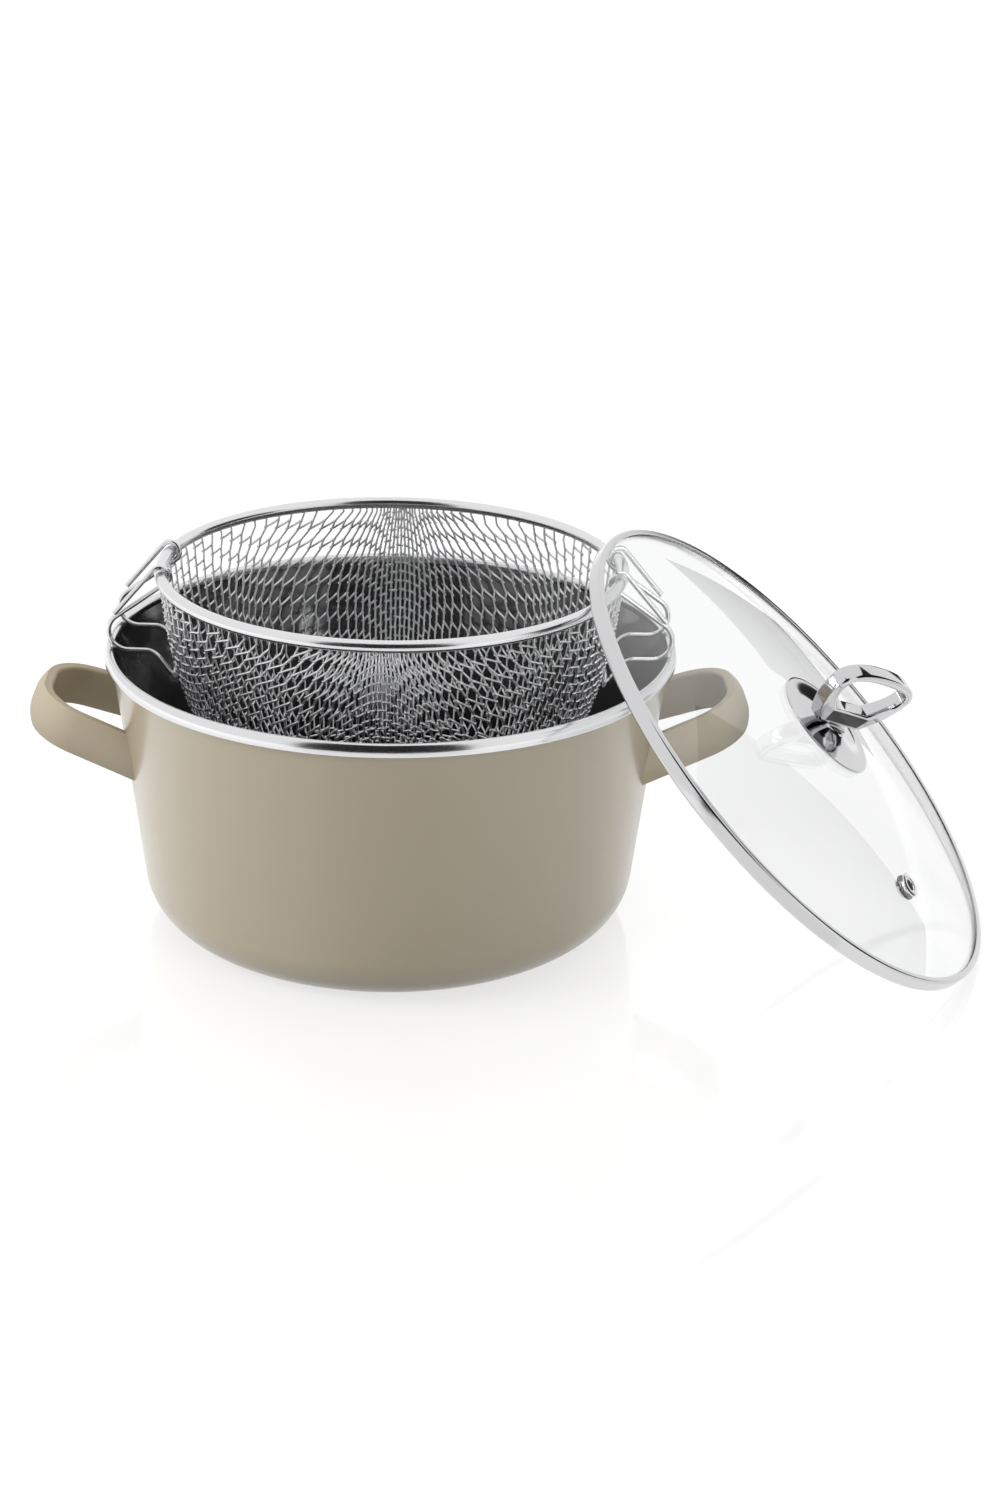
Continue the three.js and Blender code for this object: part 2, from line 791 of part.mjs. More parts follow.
const handle_corners = handle_right.geometry.attributes.position;
for (let corner = 0; corner < handle_corners.count; corner += 1) {
  const point = new THREE.Vector3().fromBufferAttribute(handle_corners, corner);
  lid_place.x += Math.max(pushedOut(point), 0);
}

const lid = new THREE.Group();
lid.position.copy(lid_place);
lid.rotation.copy(lid_turned);
lid.add(piece('lid_glass', lidGlass(), glass));
lid.add(piece('lid_band', lidBand(), steel));

const knob = new THREE.Group();
knob.position.z = apex;
knob.rotation.z = radians(knob_turn);
knob.add(piece('knob_base', knobBase(), steel));
knob.add(piece('knob_loop', knobLoop(), steel));
knob.add(piece('knob_screw', knobScrew(), steel));
const washer_hole = screw_radius + gap;
const outer_washer = washer(outer_washer_radius, washer_hole, gap, washer_thickness);
const inner_washer = washer(inner_washer_radius, washer_hole, inner_washer_bottom, washer_thickness);
knob.add(piece('knob_washer_outer', outer_washer, silicone));
knob.add(piece('knob_washer_inner', inner_washer, silicone));
lid.add(knob);

const vent_arm = new THREE.Group();
vent_arm.position.z = dome_centre;
vent_arm.rotation.set(0, vent_angle, radians(vent_turn), 'ZYX');
const vent = new THREE.Group();
vent.position.z = dome_top_radius;
vent.add(piece('vent_eyelet', ventEyelet(), steel));
vent.add(piece('vent_washer', ventWasher(), silicone));
vent_arm.add(vent);
lid.add(vent_arm);
object.add(lid);

export default object;
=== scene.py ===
"""Enamelled deep-frying pot, its wire basket raised on the rim, its glass lid leaning on an ear."""
from math import acos, asin, atan2, cos, degrees, exp, hypot, pi, radians, sin, sqrt, tan

import bpy
from mathutils import Matrix, Vector
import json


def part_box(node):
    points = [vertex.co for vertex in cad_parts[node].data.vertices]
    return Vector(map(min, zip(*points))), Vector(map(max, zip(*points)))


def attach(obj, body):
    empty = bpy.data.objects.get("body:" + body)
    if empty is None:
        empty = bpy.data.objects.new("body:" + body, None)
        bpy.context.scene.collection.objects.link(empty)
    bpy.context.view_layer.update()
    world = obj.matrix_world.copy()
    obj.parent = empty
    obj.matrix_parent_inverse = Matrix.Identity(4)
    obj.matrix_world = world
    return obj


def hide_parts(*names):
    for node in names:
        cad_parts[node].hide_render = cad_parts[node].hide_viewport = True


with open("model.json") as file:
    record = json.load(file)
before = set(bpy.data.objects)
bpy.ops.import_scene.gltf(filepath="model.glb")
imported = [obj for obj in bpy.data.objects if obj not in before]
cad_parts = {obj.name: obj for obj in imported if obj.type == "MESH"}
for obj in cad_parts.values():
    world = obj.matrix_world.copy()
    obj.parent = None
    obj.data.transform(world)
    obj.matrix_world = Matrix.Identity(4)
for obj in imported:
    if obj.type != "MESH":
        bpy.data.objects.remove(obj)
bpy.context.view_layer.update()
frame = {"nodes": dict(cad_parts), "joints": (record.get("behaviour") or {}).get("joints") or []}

mm = 0.001
scene = bpy.context.scene
scene.view_settings.view_transform = "Standard"


# Camera
# The pot was photographed from a little above its rim, with the camera held slightly rolled.
camera_place = Vector((51.6, -1111.0, 532.2)) * mm
camera_pitch = radians(67.79)
camera_roll = radians(1.35)
camera_lens = 61.226
camera_film = 36
camera_near = 0.01

camera_turn = Matrix.Rotation(camera_pitch, 3, "X") @ Matrix.Rotation(camera_roll, 3, "Z")
bpy.ops.object.camera_add(location=camera_place, rotation=camera_turn.to_euler())
camera = bpy.context.object
camera.name = "photo_camera"
camera.data.lens = camera_lens
camera.data.sensor_width = camera_film
camera.data.sensor_fit = "AUTO"
camera.data.clip_start = camera_near
scene.camera = camera


# Floor and room
# White studio floor with a faint gloss, in a white room. What a camera, a polished surface or the
# glass sees of them is white. What lights the object is only a soft even part of that, and less
# of it comes back from the floor close by: there its colour for bounced light is painted darker,
# a painted shade where the pot stands in its own shade.
room_ambient = 0.42
floor_reach = 6.0
floor_drop = 0.0002
floor_white = 0.8
floor_painted_shade = 0.1
floor_painted_shade_reach = 0.6
floor_seen = 0.28
floor_glow = 0.69
floor_far_glow = 0.92
floor_far = 1.6
floor_gloss = 0.13
floor_polish = 0.06
plain_white = (1.0, 1.0, 1.0, 1.0)


def place_on(nodes):
    """The place on the piece, in metres."""
    return nodes.new("ShaderNodeTexCoord").outputs["Object"]


def length_of(nodes, links, vector):
    """How long a vector is."""
    measure = nodes.new("ShaderNodeVectorMath")
    measure.operation = "LENGTH"
    links.new(vector, measure.inputs[0])
    return measure.outputs["Value"]


def combined(nodes, links, operation, first, second):
    """Two values put together by a Math node. The second may be a plain number."""
    pair = nodes.new("ShaderNodeMath")
    pair.operation = operation
    links.new(first, pair.inputs[0])
    if isinstance(second, float):
        pair.inputs[1].default_value = second
    else:
        links.new(second, pair.inputs[1])
    return pair.outputs[0]


def mapped(nodes, links, value, low, high, start=0.0, end=1.0):
    """A value between start and end, spread over the range from low to high."""
    spread = nodes.new("ShaderNodeMapRange")
    spread.inputs["From Min"].default_value = start
    spread.inputs["From Max"].default_value = end
    spread.inputs["To Min"].default_value = low
    spread.inputs["To Max"].default_value = high
    links.new(value, spread.inputs["Value"])
    return spread.outputs["Result"]


def seen_directly(nodes, links):
    """A mask of the rays that show the room: from the camera, off a polish or through the glass."""
    path = nodes.new("ShaderNodeLightPath")
    polished = combined(nodes, links, "MAXIMUM", path.outputs["Is Camera Ray"], path.outputs["Is Glossy Ray"])
    return combined(nodes, links, "MAXIMUM", polished, path.outputs["Is Transmission Ray"])


def white_floor():
    """Matt white under a faint gloss, a glow for direct sight, painted shade near the pot for bounce."""
    finish = bpy.data.materials.new("white_floor")
    finish.use_nodes = True
    nodes = finish.node_tree.nodes
    links = finish.node_tree.links
    nodes.clear()
    away = length_of(nodes, links, place_on(nodes))
    seen = seen_directly(nodes, links)
    matt = nodes.new("ShaderNodeBsdfDiffuse")
    tone = nodes.new("ShaderNodeMapRange")
    tone.inputs["To Max"].default_value = floor_seen
    # Painted shade: for bounced light the floor's white is darker near the pot.
    bounce_with_painted_shade = mapped(nodes, links, away, floor_painted_shade, floor_white, 0.0, floor_painted_shade_reach)
    links.new(bounce_with_painted_shade, tone.inputs["To Min"])
    links.new(seen, tone.inputs["Value"])
    links.new(tone.outputs["Result"], matt.inputs["Color"])
    shine = nodes.new("ShaderNodeBsdfGlossy")
    shine.inputs["Color"].default_value = plain_white
    shine.inputs["Roughness"].default_value = floor_polish
    surface = nodes.new("ShaderNodeMixShader")
    surface.inputs["Fac"].default_value = floor_gloss
    links.new(matt.outputs[0], surface.inputs[1])
    links.new(shine.outputs[0], surface.inputs[2])
    light = nodes.new("ShaderNodeEmission")
    light.inputs["Color"].default_value = plain_white
    glow = mapped(nodes, links, away, floor_glow, floor_far_glow, floor_painted_shade_reach, floor_far)
    links.new(combined(nodes, links, "MULTIPLY", seen, glow), light.inputs["Strength"])
    whole = nodes.new("ShaderNodeAddShader")
    links.new(surface.outputs[0], whole.inputs[0])
    links.new(light.outputs[0], whole.inputs[1])
    links.new(whole.outputs[0], nodes.new("ShaderNodeOutputMaterial").inputs["Surface"])
    return finish


room = bpy.data.worlds.new("white_room")
scene.world = room
room.use_nodes = True
room_nodes = room.node_tree.nodes
room_links = room.node_tree.links
room_light = room_nodes["Background"]
room_light.inputs["Color"].default_value = plain_white
room_level = mapped(room_nodes, room_links, seen_directly(room_nodes, room_links), room_ambient, 1.0)
room_links.new(room_level, room_light.inputs["Strength"])

bpy.ops.object.select_all(action="DESELECT")
bpy.ops.mesh.primitive_plane_add(size=2 * floor_reach, location=(0, 0, -floor_drop))
floor = bpy.context.object
floor.name = "studio_floor"
bpy.ops.object.transform_apply(location=True, rotation=True, scale=True)
floor.data.materials.append(white_floor())


# Lamps and dark cards
# A broad soft lamp at the left, a weaker one in front at the right and one overhead. Black cards
# that the camera doesn't see give the polished steel the dark streaks that it has in a studio.
# The card at the right also keeps some of the room's light off the pot.
def facing(place, aim, axis):
    """The turn that points an object's axis from its place to the aim."""
    return (Vector(aim) - Vector(place)).to_track_quat(axis, "Y").to_euler()


def softbox(name, place, aim, width, height, power):
    """A rectangular soft lamp at a place, facing the aim; sizes in metres, power in watts."""
    bpy.ops.object.light_add(type="AREA", location=place, rotation=facing(place, aim, "-Z"))
    lamp = bpy.context.object
    lamp.name = name
    lamp.data.shape = "RECTANGLE"
    lamp.data.size = width
    lamp.data.size_y = height
    lamp.data.energy = power
    lamp.visible_glossy = False


softbox("softbox_left", (-1.55, -0.45, 0.8), aim=(0.0, 0.0, 0.08), width=1.0, height=1.3, power=26)
softbox("softbox_right", (0.9, -1.3, 0.9), aim=(0.05, 0.0, 0.08), width=0.7, height=1.0, power=8)
softbox("softbox_top", (0.0, 0.4, 1.6), aim=(0.0, 0.0, 0.0), width=1.4, height=1.4, power=12)


def new_finish(name, colour, roughness, metallic=0.0):
    """A material with a plain Principled shader; returns it with its nodes, links and shader."""
    finish = bpy.data.materials.new(name)
    finish.use_nodes = True
    nodes = finish.node_tree.nodes
    shader = nodes["Principled BSDF"]
    shader.inputs["Base Color"].default_value = (*colour, 1.0)
    shader.inputs["Roughness"].default_value = roughness
    shader.inputs["Metallic"].default_value = metallic
    return finish, nodes, finish.node_tree.links, shader


card_finish = new_finish("black_card", (0.01, 0.01, 0.01), roughness=1.0)[0]


def dark_card(name, place, aim, width, height, shades=False):
    """A black card that polished surfaces see, and that shades matt ones if wanted; sizes in metres."""
    bpy.ops.object.select_all(action="DESELECT")
    bpy.ops.mesh.primitive_plane_add(size=1.0, location=place, rotation=facing(place, aim, "Z"))
    card = bpy.context.object
    card.name = name
    card.scale = (width, height, 1.0)
    bpy.ops.object.transform_apply(location=True, rotation=True, scale=True)
    card.data.materials.append(card_finish)
    card.visible_camera = False
    card.visible_diffuse = shades
    card.visible_transmission = False
    card.visible_shadow = False


dark_card("card_front", (0.0, -1.3, 1.4), aim=(0.0, 0.0, 1.4), width=1.6, height=2.8)
dark_card("card_right", (1.0, 0.1, 0.35), aim=(0.15, 0.0, 0.1), width=1.0, height=0.7, shades=True)
dark_card("card_back", (0.8, 1.35, 0.2), aim=(0.2, 0.0, 0.12), width=0.38, height=0.4)


# Pot body
# One drawn bowl of sheet steel, enamelled clay beige outside and gloss black inside. Its wall
# widens upwards, the bottom corner is round, and the base is pressed in to stand on a ring.
rim_height = 126.5
rim_radius = 127.9
wall_slope = radians(6.8)
wall_thickness = 1.2
corner_radius = 24.6
corner_start = -88
base_ring_radius = 84.0
base_press = 1.1
press_side = 9.0
press_shoulder = 5.0
press_shoulder_inside = 4.0
press_knee = 0.8
ring_round = 2.5
ring_round_height = 0.15
flare_half = 1.2
lip_flare = 1.1
lip_rise = 4.6
clearance = 0.3
weld_distance = 0.005
smooth_below = radians(40)
drift_scale = 16
peel_scale = 190
peel_depth = 0.2


def wall_radius(height):
    """The radius of the pot's outer face at a height, where its wall is straight."""
    return rim_radius - (rim_height - height) * tan(wall_slope)


wall_skin = wall_thickness / cos(wall_slope)
corner_middle = wall_radius(0) - corner_radius / cos(wall_slope) + corner_radius * tan(wall_slope)
lip_inner = rim_radius - wall_thickness + lip_flare + clearance
shoulder_radius = lip_inner + wall_thickness / 2 + clearance
shoulder_height = rim_height + 4.0


def oval(middle, wide, tall, start, end, steps):
    """Points of part of an oval in the plane of radius and height; angles in degrees."""
    angles = [radians(start + (end - start) * step / steps) for step in range(steps + 1)]
    return [(middle[0] + wide * cos(a), middle[1] + tall * sin(a)) for a in angles]


def arc(middle, radius, start, end, steps):
    """Points of an arc in the plane of radius and height; angles in degrees."""
    return oval(middle, radius, radius, start, end, steps)


def spun(name, outline, steps):
    """An outline of (radius, height) points in mm, spun round Z. It is closed unless it starts on Z."""
    bpy.ops.object.select_all(action="DESELECT")
    bpy.ops.mesh.primitive_plane_add(size=2 * mm)
    shape = bpy.context.object
    shape.name = name
    bpy.ops.object.mode_set(mode="EDIT")
    bpy.ops.mesh.merge(type="CENTER")
    bpy.ops.transform.translate(value=(outline[0][0] * mm, 0, outline[0][1] * mm))
    closing = outline[:1] if outline[0][0] > 0 else []
    for (radius, height), (to_radius, to_height) in zip(outline, outline[1:] + closing):
        step = ((to_radius - radius) * mm, 0, (to_height - height) * mm)
        bpy.ops.mesh.extrude_region_move(TRANSFORM_OT_translate={"value": step})
    bpy.ops.mesh.select_all(action="SELECT")
    bpy.ops.mesh.remove_doubles(threshold=weld_distance * mm)
    bpy.ops.mesh.spin(steps=steps, angle=2 * pi, center=(0, 0, 0), axis=(0, 0, 1))
    bpy.ops.mesh.select_all(action="SELECT")
    bpy.ops.mesh.remove_doubles(threshold=weld_distance * mm)
    bpy.ops.mesh.normals_make_consistent(inside=False)
    bpy.ops.object.mode_set(mode="OBJECT")
    bpy.ops.object.shade_smooth_by_angle(angle=smooth_below)
    return shape


def noise_in(nodes, links, vector, scale, detail):
    """Noise texture on a vector."""
    noise = nodes.new("ShaderNodeTexNoise")
    noise.inputs["Scale"].default_value = scale
    noise.inputs["Detail"].default_value = detail
    links.new(vector, noise.inputs["Vector"])
    return noise.outputs["Fac"]


def between(nodes, links, share, colour, other):
    """A tone between two colours."""
    tone = nodes.new("ShaderNodeMix")
    tone.data_type = "RGBA"
    tone.inputs["A"].default_value = (*colour, 1.0)
    tone.inputs["B"].default_value = (*other, 1.0)
    links.new(share, tone.inputs["Factor"])
    return tone.outputs["Result"]


def relief(nodes, links, shader, height, strength, depth):
    """Gives a shader a fine relief from a height; the depth is in mm."""
    bump = nodes.new("ShaderNodeBump")
    bump.inputs["Strength"].default_value = strength
    bump.inputs["Distance"].default_value = depth * mm
    links.new(height, bump.inputs["Height"])
    links.new(bump.outputs["Normal"], shader.inputs["Normal"])


def enamel_flow_group():
    """Fired enamel, as a group: slow drifts of tone, and the fine orange peel of melted glass."""
    group = bpy.data.node_groups.new("enamel_flow", "ShaderNodeTree")
    group.interface.new_socket("Vector", in_out="INPUT", socket_type="NodeSocketVector")
    group.interface.new_socket("Drift", in_out="OUTPUT", socket_type="NodeSocketFloat")
    group.interface.new_socket("Peel", in_out="OUTPUT", socket_type="NodeSocketFloat")
    vector = group.nodes.new("NodeGroupInput").outputs["Vector"]
    put_out = group.nodes.new("NodeGroupOutput")
    drift = noise_in(group.nodes, group.links, vector, drift_scale, detail=3)
    group.links.new(drift, put_out.inputs["Drift"])
    peel = noise_in(group.nodes, group.links, vector, peel_scale, detail=2)
    group.links.new(peel, put_out.inputs["Peel"])
    return group


enamel_flow = enamel_flow_group()


def enamel(name, colour, deeper, roughness, coat, coat_roughness, peel, gloss=0.5):
    """Glossy fired enamel: tone between two colours, a clear coat and a little orange peel."""
    finish, nodes, links, shader = new_finish(name, colour, roughness)
    flow = nodes.new("ShaderNodeGroup")
    flow.node_tree = enamel_flow
    links.new(place_on(nodes), flow.inputs["Vector"])
    drift = flow.outputs["Drift"]
    links.new(between(nodes, links, drift, colour, deeper), shader.inputs["Base Color"])
    links.new(mapped(nodes, links, drift, roughness * 0.85, roughness * 1.2), shader.inputs["Roughness"])
    relief(nodes, links, shader, flow.outputs["Peel"], peel, peel_depth)
    shader.inputs["Specular IOR Level"].default_value = gloss
    shader.inputs["Coat Weight"].default_value = coat
    shader.inputs["Coat Roughness"].default_value = coat_roughness
    return finish


beige_enamel = enamel("clay_beige_enamel", (0.405, 0.348, 0.250), (0.385, 0.328, 0.234),
                      roughness=0.32, coat=0.6, coat_roughness=0.16, peel=0.05)
black_enamel = enamel("gloss_black_enamel", (0.018, 0.018, 0.019), (0.026, 0.026, 0.026),
                      roughness=0.10, coat=1.0, coat_roughness=0.06, peel=0.04)

flare_low = rim_height - flare_half
flare_high = rim_height + flare_half
wall_angle = -degrees(wall_slope)
corner_pivot = (corner_middle, corner_radius)
pressed_knee = base_press * press_knee
pressed_top = wall_thickness + base_press
pot_outline = [(0, base_press), (base_ring_radius - press_side, base_press)]
pot_outline += [(base_ring_radius - press_shoulder, pressed_knee)]
pot_outline += [(base_ring_radius - ring_round, ring_round_height), (base_ring_radius, 0)]
pot_outline += arc(corner_pivot, corner_radius, corner_start, wall_angle, 24)
pot_outline += [(wall_radius(flare_low), flare_low), (lip_inner + wall_thickness, flare_high)]
pot_outline += arc((shoulder_radius, rim_height + lip_rise), wall_thickness / 2, 0, 180, 6)
pot_outline += [(lip_inner, flare_high), (wall_radius(flare_low) - wall_skin, flare_low)]
pot_outline += arc(corner_pivot, corner_radius - wall_thickness, wall_angle, corner_start, 24)
pot_outline += [(base_ring_radius, wall_thickness)]
pot_outline += [(base_ring_radius - press_shoulder_inside, wall_thickness + pressed_knee)]
pot_outline += [(base_ring_radius - press_side, pressed_top), (0, pressed_top)]
pot = spun("enamelled_bowl", pot_outline, 160)
pot.data.materials.append(beige_enamel)
pot.data.materials.append(black_enamel)
pot_middle = Vector((0, 0, rim_height / 2)) * mm
for face in pot.data.polygons:
    face.material_index = 0 if face.normal.dot(face.center - pot_middle) > 0 else 1
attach(pot, "pot")
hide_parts("pot_body")


# Rim band
# Stainless steel strip rolled over the enamelled lip: a bead whose outer face bellies out and
# curls in at its foot, with a short inner skirt. Rolling leaves fine lines that run round it.
bead_radius = 2.3
band_belly = 1.3
band_sheet = 0.8
skirt_draw = 1.1
inner_skirt = 2.0
lines_stretch = 0.004
lines_depth = 0.05


def rolled_lines_group():
    """Lines left by rolling or turning, as a group: they run round the piece's own Z axis."""
    group = bpy.data.node_groups.new("rolled_lines", "ShaderNodeTree")
    group.interface.new_socket("Vector", in_out="INPUT", socket_type="NodeSocketVector")
    group.interface.new_socket("Fineness", in_out="INPUT", socket_type="NodeSocketFloat")
    group.interface.new_socket("Lines", in_out="OUTPUT", socket_type="NodeSocketFloat")
    nodes = group.nodes
    links = group.links
    given = nodes.new("NodeGroupInput")
    split = nodes.new("ShaderNodeSeparateXYZ")
    links.new(given.outputs["Vector"], split.inputs[0])
    flat = nodes.new("ShaderNodeCombineXYZ")
    links.new(split.outputs["X"], flat.inputs["X"])
    links.new(split.outputs["Y"], flat.inputs["Y"])
    angle = combined(nodes, links, "ARCTAN2", split.outputs["Y"], split.outputs["X"])
    unrolled = nodes.new("ShaderNodeCombineXYZ")
    links.new(combined(nodes, links, "MULTIPLY", angle, lines_stretch), unrolled.inputs["X"])
    links.new(length_of(nodes, links, flat.outputs[0]), unrolled.inputs["Y"])
    links.new(split.outputs["Z"], unrolled.inputs["Z"])
    noise = nodes.new("ShaderNodeTexNoise")
    noise.inputs["Detail"].default_value = 4
    links.new(unrolled.outputs[0], noise.inputs["Vector"])
    links.new(given.outputs["Fineness"], noise.inputs["Scale"])
    links.new(noise.outputs["Fac"], nodes.new("NodeGroupOutput").inputs["Lines"])
    return group


rolled_lines = rolled_lines_group()


def steel(name, colour, smooth, dull, fineness, bump_strength, own_frame=None):
    """Polished stainless steel with fine lines round the piece's axis, which own_frame places."""
    finish, nodes, links, shader = new_finish(name, colour, smooth, metallic=1.0)
    vector = place_on(nodes)
    if own_frame:
        turned_back = own_frame.inverted()
        to_own = nodes.new("ShaderNodeMapping")
        to_own.inputs["Location"].default_value = turned_back.translation
        to_own.inputs["Rotation"].default_value = turned_back.to_euler()
        links.new(vector, to_own.inputs["Vector"])
        vector = to_own.outputs["Vector"]
    lines = nodes.new("ShaderNodeGroup")
    lines.node_tree = rolled_lines
    lines.inputs["Fineness"].default_value = fineness
    links.new(vector, lines.inputs["Vector"])
    links.new(mapped(nodes, links, lines.outputs["Lines"], smooth, dull), shader.inputs["Roughness"])
    relief(nodes, links, shader, lines.outputs["Lines"], bump_strength, lines_depth)
    return finish


band_steel = steel("rolled_band_steel", (0.74, 0.74, 0.75),
                   smooth=0.10, dull=0.24, fineness=2600, bump_strength=0.25)
bead_middle = (shoulder_radius, shoulder_height)
skirt_foot = shoulder_radius + bead_radius - skirt_draw
inner_foot = shoulder_radius - bead_radius
curl = band_sheet / 2
belly_height = rim_height + band_belly
belly_rise = shoulder_height + bead_radius - belly_height
band_outline = arc((skirt_foot - curl, rim_height + curl), curl, -180, -90, 3)
band_outline += oval((shoulder_radius, belly_height), bead_radius, band_belly, -50, 0, 5)
band_outline += oval((shoulder_radius, belly_height), bead_radius, belly_rise, 5, 90, 17)
band_outline += arc(bead_middle, bead_radius, 98, 180, 12)
band_outline += arc((inner_foot + curl, shoulder_height - inner_skirt + curl), curl, 180, 360, 6)
band_outline += arc(bead_middle, bead_radius - band_sheet, 180, -14, 22)
band = spun("rolled_rim_band", band_outline, 192)
band.data.materials.append(band_steel)
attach(band, "pot")
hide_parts("rim_band")


# Handles
# Two straps of thick sheet bent to a U, flat inside and crowned outside, welded to the wall and
# enamelled with it. They rise outwards, and the whole strap is tipped with the rise.
strap_height = 19.6
strap_thickness = 6.0
strap_edge = 3.0
strap_half_span = 36.0
strap_half_end = 26.0
strap_reach = 42.4
strap_bend = 24.0
strap_rise = radians(20.5)
strap_middle_height = 88.5
strap_root_inset = 2.0
strap_root_run = 12.0
handle_turn = radians(2.2)
joint_depth = 0.6
joint_lowest = 30.0
crown_steps = 24

# The handles have the pot's beige enamel, made paler and greyer as a painted sheen, since their own gloss is
# off.
handle_enamel_painted_sheen = enamel("satin_enamel_painted_sheen", (0.43, 0.38, 0.29), (0.37, 0.32, 0.235),
                       roughness=0.5, coat=0.08, coat_roughness=0.3, peel=0.08, gloss=0.0)
strap_hinge = wall_radius(strap_middle_height) - strap_root_inset


def rounded_corner(before, corner, after, radius, steps):
    """Points of the arc that rounds a corner between two straight runs."""
    back = (before - corner).normalized()
    ahead = (after - corner).normalized()
    half = back.angle(ahead) / 2
    middle = corner + (back + ahead).normalized() * (radius / sin(half))
    start = corner + back * (radius / tan(half)) - middle
    end = corner + ahead * (radius / tan(half)) - middle
    pivot = start.cross(end).normalized()
    sweep = start.angle(end)
    return [middle + Matrix.Rotation(sweep * step / steps, 3, pivot) @ start for step in range(steps + 1)]


def curve_from(name, runs, closed=False):
    """A curve object of straight-sided runs of points in mm."""
    data = bpy.data.curves.new(name, "CURVE")
    data.dimensions = "3D"
    data.use_fill_caps = True
    for run in runs:
        spline = data.splines.new("POLY")
        spline.points.add(len(run) - 1)
        for knot, point in zip(spline.points, run):
            knot.co = (*(Vector(point) * mm), 1.0)
        spline.use_cyclic_u = closed
    shape = bpy.data.objects.new(name, data)
    scene.collection.objects.link(shape)
    return shape


def made_mesh(shape, smooth=60):
    """A curve turned into a mesh with smooth sides."""
    bpy.ops.object.select_all(action="DESELECT")
    shape.select_set(True)
    bpy.context.view_layer.objects.active = shape
    bpy.ops.object.convert(target="MESH")
    bpy.ops.object.shade_smooth_by_angle(angle=radians(smooth))
    return bpy.context.object


def strap_section():
    """The strap's section: across its thickness along X, up its height along Y."""
    half = strap_height / 2
    round_in = strap_edge / 2
    points = []
    for step in range(crown_steps + 1):
        ease = sin((2 * step / crown_steps - 1) * pi / 2)
        points.append((round_in + (strap_thickness - strap_edge) * (1 - ease * ease), ease * half, 0))
    points += [(x - round_in, y, 0) for x, y in arc((0, half - round_in), round_in, 60, 180, 6)]
    points += [(x - round_in, y, 0) for x, y in arc((0, -half + round_in), round_in, 180, 300, 6)]
    return points


def cut(shape, tool):
    """Takes a tool's solid out of a shape, and removes the tool."""
    bpy.ops.object.select_all(action="DESELECT")
    shape.select_set(True)
    bpy.context.view_layer.objects.active = shape
    cutting = shape.modifiers.new("cut", "BOOLEAN")
    cutting.operation = "DIFFERENCE"
    cutting.object = tool
    bpy.ops.object.modifier_apply(modifier=cutting.name)
    bpy.data.objects.remove(tool)


section = curve_from("strap_section", [strap_section()], closed=True)


def handle(name, way):
    """A strap handle that stands out along X, turned about Z to its side of the pot."""
    root = strap_hinge - strap_root_run
    end = strap_hinge + strap_reach
    corners = [Vector((root, -strap_half_span, 0)), Vector((end, -strap_half_end, 0)),
               Vector((end, strap_half_end, 0)), Vector((root, strap_half_span, 0))]
    route = [corners[0]]
    route += rounded_corner(*corners[:3], strap_bend, 18)
    route += rounded_corner(*corners[1:], strap_bend, 18)
    route.append(corners[3])
    shape = curve_from(name, [route])
    shape.data.twist_mode = "Z_UP"
    shape.data.bevel_mode = "OBJECT"
    shape.data.bevel_object = section
    shape = made_mesh(shape)
    rise = Matrix.Rotation(-strap_rise, 4, "Y")
    settle = Matrix.Translation(Vector((strap_hinge, 0, strap_middle_height)) * mm)
    from_hinge = Matrix.Translation(Vector((-strap_hinge, 0, 0)) * mm)
    shape.data.transform(Matrix.Rotation(way, 4, "Z") @ settle @ rise @ from_hinge)
    inside = [(wall_radius(height) - joint_depth, height) for height in (joint_lowest, flare_low)]
    cut(shape, spun("bowl_space", [(0, joint_lowest), *inside, (0, flare_low)], 160))
    bpy.ops.object.shade_smooth_by_angle(angle=smooth_below)
    shape.data.materials.append(handle_enamel_painted_sheen)
    return shape


right_handle = handle("strap_handle_right", handle_turn)
left_handle = handle("strap_handle_left", handle_turn + pi)
bpy.data.objects.remove(section)
for strap, node in ((right_handle, "handle_right"), (left_handle, "handle_left")):
    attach(strap, "pot")
    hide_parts(node)


# Basket rim
# A hoop of thick bright round wire, welded shut at its ends. The netting hangs from it, and the
# curls of the two ears hold it.
hoop_radius = 104.8
hoop_wire = 5.6
hoop_height = rim_height + 40.3

wire_bright = steel("hoop_wire_steel", (0.76, 0.76, 0.77),
                    smooth=0.14, dull=0.26, fineness=1500, bump_strength=0.15)
hoop = spun("basket_hoop", arc((hoop_radius, hoop_height), hoop_wire / 2, 0, 360, 28)[:-1], 176)
hoop.data.materials.append(wire_bright)
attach(hoop, "basket")
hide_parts("basket_rim")


# Netting
# Knitted wire netting: upright strands hooked to their neighbours by short links. It is pulled
# wide at the sides, and gathered at the front and back, from where it fans out lower down. A flat
# floor of the same netting closes it, gathered in a small ring.
net_wire = 1.1
net_skin = 0.9
net_top = hoop_height - hoop_wire / 2 - clearance
net_depth = 103.2
net_foot_radius = 72.0
net_bulge = 7.2
net_period = 8.8
side_spacing = 7.3
gathered_spacing = 1.2
gather_power = 26
gather_turn = 4
fan_strength = 1.1
fan_width = radians(32)
fan_depth_share = 0.5
front_pull = 0.12
hook_side = net_wire * 0.62
hook_reach = 0.5
hook_pass = 0.1
hook_over = 0.55
hook_under = -0.15
link_over = 0.15
strand_under = -0.25
first_link_gap = 0.6
last_link_gap = 0.4
last_link_start = 1.0


def strand_spacing(angle):
    """Distance between strands at the hoop."""
    return gathered_spacing + (side_spacing - gathered_spacing) * (1 - abs(sin(angle)) ** gather_power)


